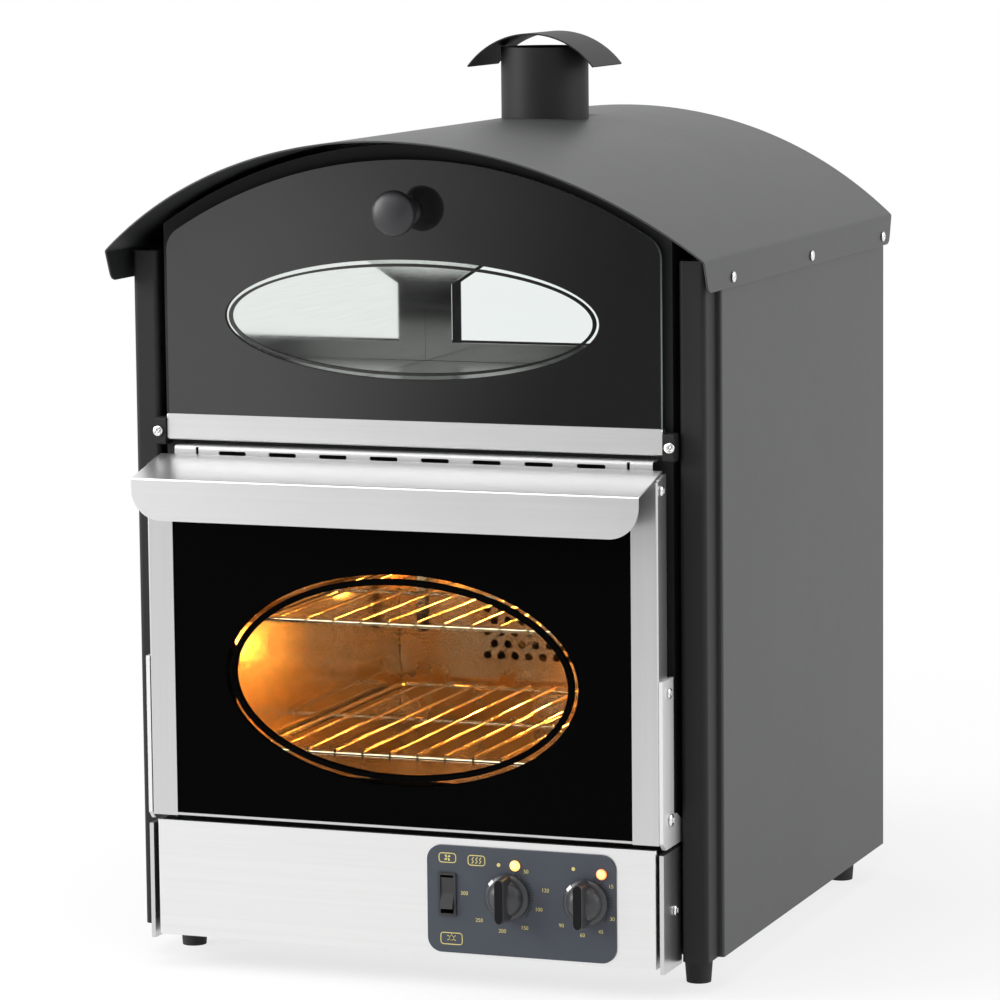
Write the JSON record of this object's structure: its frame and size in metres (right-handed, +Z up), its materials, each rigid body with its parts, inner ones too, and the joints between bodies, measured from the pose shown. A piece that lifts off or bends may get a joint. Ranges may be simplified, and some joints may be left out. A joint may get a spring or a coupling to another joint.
{
  "type": "baked potato oven",
  "caption": "Counter-top baked potato oven: arched black cabinet with flue, lit display chamber behind a drop-down glass, and a drop-down oven door with a canopy handle above its controls.",
  "frame": {"origin": "on the table, under the middle of the oven's bounding box", "axes": "+Z up, +X to the viewer's right across the width, +Y from the front to the back"},
  "size_m": [0.515, 0.608, 0.7525],
  "materials": {
    "black_paint": "fine-textured black powder coat",
    "stainless": "brushed, satin",
    "polished_steel": "bright rolled stainless",
    "galvanised_steel": "dull galvanised",
    "black_plastic": "satin black",
    "white_plastic": "matte",
    "control_body": "matte",
    "clear_glass": "polished",
    "oven_glass": "polished, printed black round a clear oval",
    "display_glass": "polished, printed black round a clear oval",
    "lamp_glass": "frosted",
    "lamp_housing": "white enamel",
    "mineral_wool": "fibrous",
    "motor_casting": "cast, satin",
    "fan_aluminium": "pressed, satin",
    "element_sheath": "oxidised",
    "chrome_wire": "bright plated",
    "amber_lens": "glossy translucent",
    "black_rubber": "matte",
    "seal_rubber": "matte"
  },
  "bodies": {
    "cabinet": {"base_pan": "galvanised_steel", "left_side_panel": "black_paint", "right_side_panel": "black_paint", "rear_panel": "black_paint", "rear_window": "clear_glass", "left_front_post": "black_paint", "right_front_post": "black_paint", "front_frame": "black_paint", "roof_sheet": "black_paint", "cabinet_screws": "polished_steel", "flue_tube": "black_paint", "flue_cap": "black_paint", "nose_rail": "stainless", "display_floor": "polished_steel", "display_side_liners": "polished_steel", "display_rear_liner": "polished_steel", "display_top_liner": "polished_steel", "oven_side_liners": "polished_steel", "oven_floor_liner": "polished_steel", "oven_top_liner": "polished_steel", "oven_rear_liner": "polished_steel", "fan_baffle": "polished_steel", "fan_motor": "motor_casting", "heating_element": "element_sheath", "shelf_runners": "polished_steel", "oven_lamp": "lamp_glass", "display_lamp": "lamp_housing", "insulation": "mineral_wool", "fascia_panel": "stainless", "control_plate": "black_plastic", "switch_bezel": "black_plastic", "thermostat_body": "control_body", "timer_body": "control_body", "pilot_lamps": "amber_lens", "plinth_plates": "stainless", "door_ears": "stainless", "pivot_blocks": "black_paint", "terminal_block": "white_plastic", "cable_gland": "black_plastic", "rubber_feet": "black_rubber"},
    "oven_door": {"oven_door_frame": "stainless", "oven_door_glass": "oven_glass", "oven_door_inner_frame": "polished_steel", "oven_door_inner_glass": "clear_glass", "oven_door_seal": "seal_rubber", "canopy_handle": "stainless", "left_hinge_arm": "stainless", "right_hinge_arm": "stainless", "door_screws": "polished_steel"},
    "display_door": {"display_glass": "display_glass", "display_channel": "stainless", "display_knob": "black_plastic", "display_pins": "polished_steel"},
    "thermostat_dial": {"thermostat_knob": "black_plastic"},
    "timer_dial": {"timer_knob": "black_plastic"},
    "switch_rocker": {"power_switch": "black_plastic"},
    "upper_rack": {"upper_shelf": "chrome_wire"},
    "lower_rack": {"lower_shelf": "chrome_wire"},
    "fan": {"fan_wheel": "fan_aluminium"}
  },
  "joints": [
    {"name": "oven_door_hinge", "type": "hinge", "parent": "cabinet", "child": "oven_door", "pos_m": [0, -0.2506, 0.1453], "axis": [1, 0, 0], "range_deg": [0, 90]},
    {"name": "display_door_hinge", "type": "hinge", "parent": "cabinet", "child": "display_door", "pos_m": [0, -0.2338, 0.4392], "axis": [1, 0, 0], "range_deg": [0, 90]},
    {"name": "thermostat_turn", "type": "hinge", "parent": "cabinet", "child": "thermostat_dial", "pos_m": [0.091, -0.27, 0.0785], "axis": [0, 1, 0], "range_deg": [0, 280]},
    {"name": "timer_turn", "type": "hinge", "parent": "cabinet", "child": "timer_dial", "pos_m": [0.157, -0.27, 0.0785], "axis": [0, 1, 0], "range_deg": [0, 300]},
    {"name": "switch_rock", "type": "hinge", "parent": "cabinet", "child": "switch_rocker", "pos_m": [0.0397, -0.2636, 0.0777], "axis": [1, 0, 0], "range_deg": [0, 16]},
    {"name": "upper_shelf_slide", "type": "slide", "parent": "cabinet", "child": "upper_rack", "axis": [0, -1, 0], "range_m": [0, 0.024]},
    {"name": "lower_shelf_slide", "type": "slide", "parent": "cabinet", "child": "lower_rack", "axis": [0, -1, 0], "range_m": [0, 0.024]},
    {"name": "fan_spin", "type": "hinge", "parent": "cabinet", "child": "fan", "pos_m": [0, 0.171, 0.266], "axis": [0, 1, 0], "continuous": true}
  ]
}
